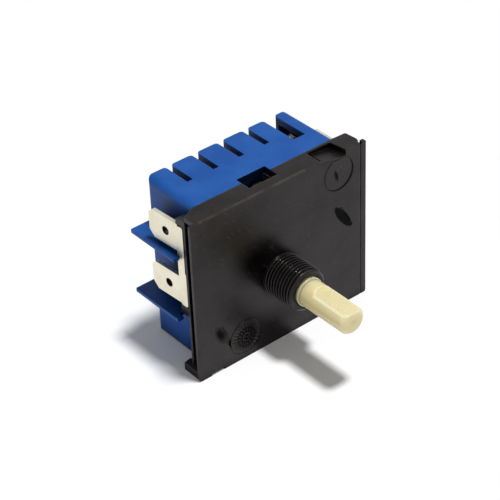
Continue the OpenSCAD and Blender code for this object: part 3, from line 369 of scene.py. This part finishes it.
LOOKS = {
    # Painted shade in the blue's recesses, in the window and in the wide vent; its lighter edge tone is
    # a painted highlight.
    "blue_moulding": dict(
        tones=((0.005, 0.074, 0.325), (0.010, 0.095, 0.385)), worn=(0.07, 0.19, 0.50),
        roughness=(0.36, 0.52), edge=0.30, specular=0.22, blotch=6.0, scratches=0.1, cavity_shade=0.95,
        reach=6.0, marks_and_shade=shaded_openings),
    # Painted shade on the front, in the dents, along the round rims and round the bush; a painted
    # highlight on the upper front edge.
    "black_moulding": dict(
        **BLACK, roughness=(0.26, 0.42), edge=0.30, specular=0.32, blotch=7.0, bump=0.2, wear_and_highlight=0.9,
        scratches=0.16, marks_and_shade=front_marks_and_shade, rubs_and_highlights=top_edge_highlight_and_wear),
    # The thread's grooves get painted shade.
    "black_thread": dict(
        **BLACK, roughness=(0.21, 0.30), edge=0.04, specular=0.48, blotch=3.0, bump=0.1, reach=1.0),
    # Painted shade in the spindle's recesses; painted highlights along both edges of the flat and on
    # its other edges.
    "spindle_resin": dict(
        tones=((0.80, 0.72, 0.42), (0.82, 0.745, 0.45)), worn=(0.92, 0.86, 0.62),
        roughness=(0.22, 0.29), edge=0.35, specular=0.6, bump=0.12, wear_and_highlight=1.0, scatter=1.0, cavity_shade=0.3,
        reach=1.2, marks_and_shade=gate_mark, rubs_and_highlights=flat_edge_highlights),
    "cam_resin": dict(
        tones=((0.70, 0.66, 0.56), (0.76, 0.72, 0.62)), worn=(0.82, 0.79, 0.70),
        roughness=(0.38, 0.48), edge=0.2, scatter=0.2),
    # Painted shade in recesses, on the walls of the blades' holes and on the tab in the wide vent.
    "tinned_strip": dict(
        tones=((0.80, 0.75, 0.58), (0.88, 0.84, 0.69)), worn=(0.66, 0.54, 0.32),
        roughness=(0.34, 0.46), edge=0.08, metallic=0.95, grain=0.12, stretch=(6, 1, 1), blotch=3.0,
        bump=0.2, cavity_shade=0.95, reach=2.2, marks_and_shade=strip_shade),
    "spring_steel": dict(
        tones=((0.56, 0.56, 0.58), (0.64, 0.64, 0.66)), worn=(0.72, 0.72, 0.73),
        roughness=(0.25, 0.36), edge=0.05, metallic=1.0, grain=0.1),
    "leaf_alloy": dict(
        tones=((0.60, 0.36, 0.15), (0.68, 0.43, 0.20)), worn=(0.76, 0.54, 0.30),
        roughness=(0.26, 0.38), edge=0.05, metallic=1.0, grain=0.12, stretch=(1, 1, 8)),
    "contact_metal": dict(
        tones=((0.62, 0.62, 0.60), (0.72, 0.72, 0.69)), worn=(0.40, 0.38, 0.36),
        roughness=(0.30, 0.42), edge=0.1, metallic=1.0, grain=0.15),
    "rivet_metal": dict(
        tones=((0.55, 0.52, 0.45), (0.64, 0.61, 0.54)), worn=(0.70, 0.67, 0.60),
        roughness=(0.32, 0.44), edge=0.1, metallic=1.0, grain=0.2),
    "lever_steel": dict(
        tones=((0.50, 0.52, 0.56), (0.60, 0.61, 0.64)), worn=(0.66, 0.67, 0.69),
        roughness=(0.32, 0.46), edge=0.08, metallic=1.0, grain=0.2),
    "bimetal": dict(
        tones=((0.44, 0.41, 0.34), (0.52, 0.49, 0.42)), worn=(0.60, 0.58, 0.53),
        roughness=(0.34, 0.48), edge=0.06, metallic=1.0, grain=0.12, stretch=(8, 1, 1)),
    "mica": dict(
        tones=((0.48, 0.38, 0.19), (0.58, 0.48, 0.27)), worn=(0.70, 0.62, 0.42),
        roughness=(0.34, 0.50), edge=0.06, grain=0.3, stretch=(3, 1, 1)),
    "heater_wire": dict(
        tones=((0.16, 0.13, 0.12), (0.24, 0.20, 0.18)), worn=(0.36, 0.33, 0.31),
        roughness=(0.42, 0.56), edge=0.05, metallic=1.0, grain=0.1),
    # Painted shade in the screw's recesses.
    "screw_brass": dict(
        tones=((0.56, 0.44, 0.17), (0.64, 0.52, 0.23)), worn=(0.72, 0.62, 0.36),
        roughness=(0.24, 0.36), edge=0.1, metallic=1.0, grain=0.15, cavity_shade=0.9),
    "white_ceramic": dict(
        tones=((0.82, 0.81, 0.77), (0.88, 0.87, 0.84)), worn=(0.90, 0.89, 0.87),
        roughness=(0.45, 0.60), edge=0.1, grain=0.25),
}
FINISHES = {name: finish(name, **look) for name, look in LOOKS.items()}


def dress_nodes():
    for part in frame["record"]["subparts"]:
        for place in frame["nodes"][part["node"]].material_slots:
            place.material = FINISHES[part["material_slot"]]


# Studio
def make_world():
    """White to the camera, dim as light, and darker upwards in reflections."""
    world = bpy.data.worlds.new("studio")
    SCENE.world = world
    tree = fresh_tree(world)
    path = add(tree, "LightPath").outputs
    height = add(tree, "SeparateXYZ", {0: add(tree, "TexCoord").outputs["Generated"]}).outputs[2]
    mirrored = ramp(tree, height, 0.0, 0.6, 1.0, 0.55)
    seen = maths(tree, "MAXIMUM", path["Is Camera Ray"], path["Is Transmission Ray"])
    strength = blend_value(tree, path["Is Glossy Ray"], AMBIENT, mirrored)
    strength = blend_value(tree, seen, strength, 1.0)
    background = add(tree, "Background", {"Color": WHITE, "Strength": strength})
    add(tree, "OutputWorld", {0: background.outputs[0]})


def make_floor():
    """Pale paper just under the part, plain white away from it. Near, far and side are in metres."""
    side = 3.0
    near, far = 0.038, 0.085
    z = cad_lo.z - 0.02 * MM
    mesh = bpy.data.meshes.new("floor")
    mesh.from_pydata([(-side, -side, z), (side, -side, z), (side, side, z), (-side, side, z)], [],
                     [(0, 1, 2, 3)])
    floor = bpy.data.objects.new("floor", mesh)
    SCENE.collection.objects.link(floor)
    material = bpy.data.materials.new("floor")
    tree = fresh_tree(material)
    path = add(tree, "LightPath").outputs
    seen = maths(tree, "MAXIMUM", path["Is Camera Ray"], path["Is Glossy Ray"])
    colour = blend_colour(tree, seen, (0.80, 0.80, 0.81, 1), (0.97, 0.97, 0.985, 1))
    paper = add(tree, "BsdfDiffuse", {"Color": colour})
    place = add(tree, "TexCoord").outputs["Object"]
    away = add(tree, "VectorMath", {0: place}, operation="LENGTH").outputs["Value"]
    plain = maths(tree, "MULTIPLY", ramp(tree, away, near, far, 0.06, 1.0), seen)
    white = add(tree, "Emission", {"Color": WHITE, "Strength": 1.0})
    shader = add(tree, "MixShader", {0: plain, 1: paper.outputs[0], 2: white.outputs[0]})
    add(tree, "OutputMaterial", {0: shader.outputs[0]})
    mesh.materials.append(material)


def make_sun(name, toward, energy, angle):
    data = bpy.data.lights.new(name, "SUN")
    data.energy = energy
    data.angle = math.radians(angle)
    sun = bpy.data.objects.new(name, data)
    sun.rotation_mode = "QUATERNION"
    sun.rotation_quaternion = Vector(toward).to_track_quat("Z", "Y")
    SCENE.collection.objects.link(sun)


# Shapes of the pieces, in millimetres
def new_piece(name, verts, faces, slot, body="case", smooth=True, look=None):
    """A piece from points in millimetres, closed and with its faces turned outwards."""
    mesh = bpy.data.meshes.new(name)
    mesh.from_pydata([Vector(v) * MM for v in verts], [], faces)
    shape = bmesh.new()
    shape.from_mesh(mesh)
    bmesh.ops.recalc_face_normals(shape, faces=shape.faces)
    shape.to_mesh(mesh)
    shape.free()
    for polygon in mesh.polygons:
        polygon.use_smooth = smooth
    mesh.materials.append(FINISHES[look or slot])
    piece = bpy.data.objects.new(name, mesh)
    SCENE.collection.objects.link(piece)
    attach(piece, body)
    return piece


def on_circle(radius, angle, centre=(0, 0)):
    return centre[0] + radius * math.cos(angle), centre[1] + radius * math.sin(angle)


def full_turn(count, shift=0.0):
    """The angles of count points round a circle, moved on by a share of a step."""
    return [2 * math.pi * (i + shift) / count for i in range(count)]


def loop_faces(sections, sides, closed=False):
    """Quads between rings of points, with a cap at each end where the sweep isn't closed."""
    faces = []
    for i in range(sections if closed else sections - 1):
        a, b = i * sides, (i + 1) % sections * sides
        for k in range(sides):
            m = (k + 1) % sides
            faces.append((a + k, a + m, b + m, b + k))
    if not closed:
        faces.append(tuple(range(sides)))
        faces.append(tuple((sections - 1) * sides + k for k in range(sides)))
    return faces


def raised_bar(start, end, face, half, height):
    """Points and faces of a low bar with sloped sides, as wide as twice half."""
    surface, outward = face
    a, b = Vector(start), Vector(end)
    along = (b - a).normalized()
    side = Vector((-along.y, along.x))
    slope = 0.7
    verts = []
    for level, inset in ((-SINK, 0.0), (height, height * slope)):
        for end_point, way in ((a, 1), (b, -1)):
            for s in (half - inset, inset - half):
                p = end_point + along * inset * way + side * s
                verts.append((p.x, surface + outward * level, p.y))
    faces = [(0, 1, 3, 2), (4, 6, 7, 5), (0, 2, 6, 4), (1, 5, 7, 3), (0, 4, 5, 1), (2, 3, 7, 6)]
    return verts, faces


def raised_ring(centre, face, radius, half, height):
    """Points and faces of a low ring with sloped sides, as wide as twice half."""
    surface, outward = face
    crest = half * 0.4
    section = ((radius - half, -SINK), (radius - crest, height), (radius + crest, height),
               (radius + half, -SINK))
    angles = full_turn(48)
    verts = []
    for angle in angles:
        for r, level in section:
            x, z = on_circle(r, angle, centre)
            verts.append((x, surface + outward * level, z))
    return verts, loop_faces(len(angles), len(section), closed=True)


def raised_disc(centre, radius, limit=math.inf):
    """Points and faces of a low disc with a sloped rim on the front face, cut off above a limit."""
    section = ((radius, -SINK), (radius, MARK_RISE * 0.4), (radius - MARK_RISE * 0.6, MARK_RISE))
    angles = full_turn(64)
    verts = []
    for r, level in section:
        for angle in angles:
            x, z = on_circle(r, angle, centre)
            verts.append((x, -level, min(z, limit)))
    return verts, loop_faces(len(section), len(angles))


def join(parts):
    verts, faces = [], []
    for part_verts, part_faces in parts:
        base = len(verts)
        verts += part_verts
        faces += [tuple(base + i for i in face) for face in part_faces]
    return verts, faces


# Pieces
def make_return_spring():
    """Coil spring between the spindle's drive and the boss, with end turns that close up.
    """
    low, high = (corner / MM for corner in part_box("return_spring"))
    wire, tip, closing = 0.2, 0.45, 0.6
    turns, per_turn, sides = 3.5, 40, 12
    coil = high.z - wire
    start, length = low.y + wire, high.y - low.y - 2 * wire
    count = int(turns * per_turn)
    verts = []
    for i in range(-1, count + 2):
        u = min(max(i / count, 0.0), 1.0)
        angle = 2 * math.pi * i / per_turn
        y = start + length * (u - closing * math.sin(2 * math.pi * u) / (2 * math.pi))
        radius = wire if 0 <= i <= count else wire * tip
        for turn in full_turn(sides):
            across, along = on_circle(radius, turn)
            x, z = on_circle(coil + across, angle)
            verts.append((x, y + along, z))
    spring = new_piece("coil_spring", verts, loop_faces(count + 3, sides), "spring_steel")
    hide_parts("return_spring")
    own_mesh(spring)


def make_thread():
    """Ridge of the 3/8 inch by 32 thread, with a rounded crest that runs out at both ends."""
    pitch = 25.4 / 32
    foot, crest, least = 4.42, 4.7625, 0.02
    half_width, rounding = 0.235, 0.07
    start, end = -0.35, BUSH_END + 0.45
    per_turn = 72
    run_out = per_turn * 0.4
    count = int((start - end) / pitch * per_turn)
    nose_angles = [math.radians(a) for a in (-62, -31, 0, 31, 62)]
    verts = []
    for i in range(count + 1):
        angle = 2 * math.pi * i / per_turn
        y = start - pitch * i / per_turn
        rise = min(1.0, i / run_out, (count - i) / run_out)
        top = foot + least + (crest - foot - least) * rise
        nose = [(top + rounding * (math.cos(a) - 1), rounding * math.sin(a)) for a in nose_angles]
        section = ((foot, -half_width), *nose, (foot, half_width))
        for radius, offset in section:
            x, z = on_circle(radius, angle)
            verts.append((x, y + offset, z))
    new_piece("bush_thread", verts, loop_faces(count + 1, len(section)), "black_moulding",
              look="black_thread")


def make_date_mark():
    """Bare dial of a mould's date insert: two rows of short radial strokes round a pointer."""
    x, z = DATE_MARK
    parts = [raised_disc(DATE_MARK, radius=3.9),
             raised_ring(DATE_MARK, ON_DISC, radius=0.9, half=0.13, height=STROKE_RISE),
             raised_bar((x - 0.5, z), (x + 0.6, z + 0.1), ON_DISC, half=0.15, height=STROKE_RISE)]
    for strokes, inner, outer, half in ((26, 2.4, 3.4, 0.14), (15, 1.4, 2.1, 0.13)):
        for angle in full_turn(strokes, shift=0.5):
            ends = (on_circle(r, angle, DATE_MARK) for r in (inner, outer))
            parts.append(raised_bar(*ends, ON_DISC, half, STROKE_RISE))
    new_piece("date_mark", *join(parts), "black_moulding", smooth=False)


def make_corner_mark():
    """Low disc in the corner with the trace of a worn arc and a few specks."""
    x, z = CORNER_MARK
    parts = [raised_disc(CORNER_MARK, radius=3.8, limit=CORNER_MARK_TOP)]
    arc = [on_circle(1.7, math.radians(a), (x + 0.5, z)) for a in (125, 150, 175, 200, 225)]
    parts += [raised_bar(a, b, ON_DISC, half=0.15, height=0.13) for a, b in zip(arc, arc[1:])]
    for across, up in ((0.55, -0.35), (1.2, 0.9), (0.2, 1.5), (1.0, -1.3)):
        speck = (x + across, z + up), (x + across + 0.3, z + up + 0.2)
        parts.append(raised_bar(*speck, ON_DISC, half=0.14, height=0.12))
    new_piece("corner_mark", *join(parts), "black_moulding", smooth=False)


def make_rear_marks():
    """Blank frame and the rings of the ejector pins on the back of the housing."""
    left, right, low, high = -8.0, 9.0, -9.5, 3.5
    corners = [(left, low), (right, low), (right, high), (left, high)]
    sides = zip(corners, corners[1:] + corners[:1])
    parts = [raised_bar(a, b, ON_REAR, half=0.2, height=0.15) for a, b in sides]
    for x in (-13.0, 14.0):
        for z in (-12.5, 8.5):
            parts.append(raised_ring((x, z), ON_REAR, radius=1.6, half=0.15, height=0.08))
    new_piece("rear_marks", *join(parts), "blue_moulding", smooth=False)


make_camera()
SCENE.view_settings.view_transform = "Standard"
make_world()
make_floor()
make_sun("key", (0.11, -0.15, 1.0), KEY, KEY_ANGLE)
make_sun("fill", (-0.15, -1.0, 0.4), FILL, FILL_ANGLE)
make_sun("side_fill", (-1.0, -0.1, 0.6), SIDE_FILL, FILL_ANGLE)
dress_nodes()
make_return_spring()
make_thread()
make_date_mark()
make_corner_mark()
make_rear_marks()
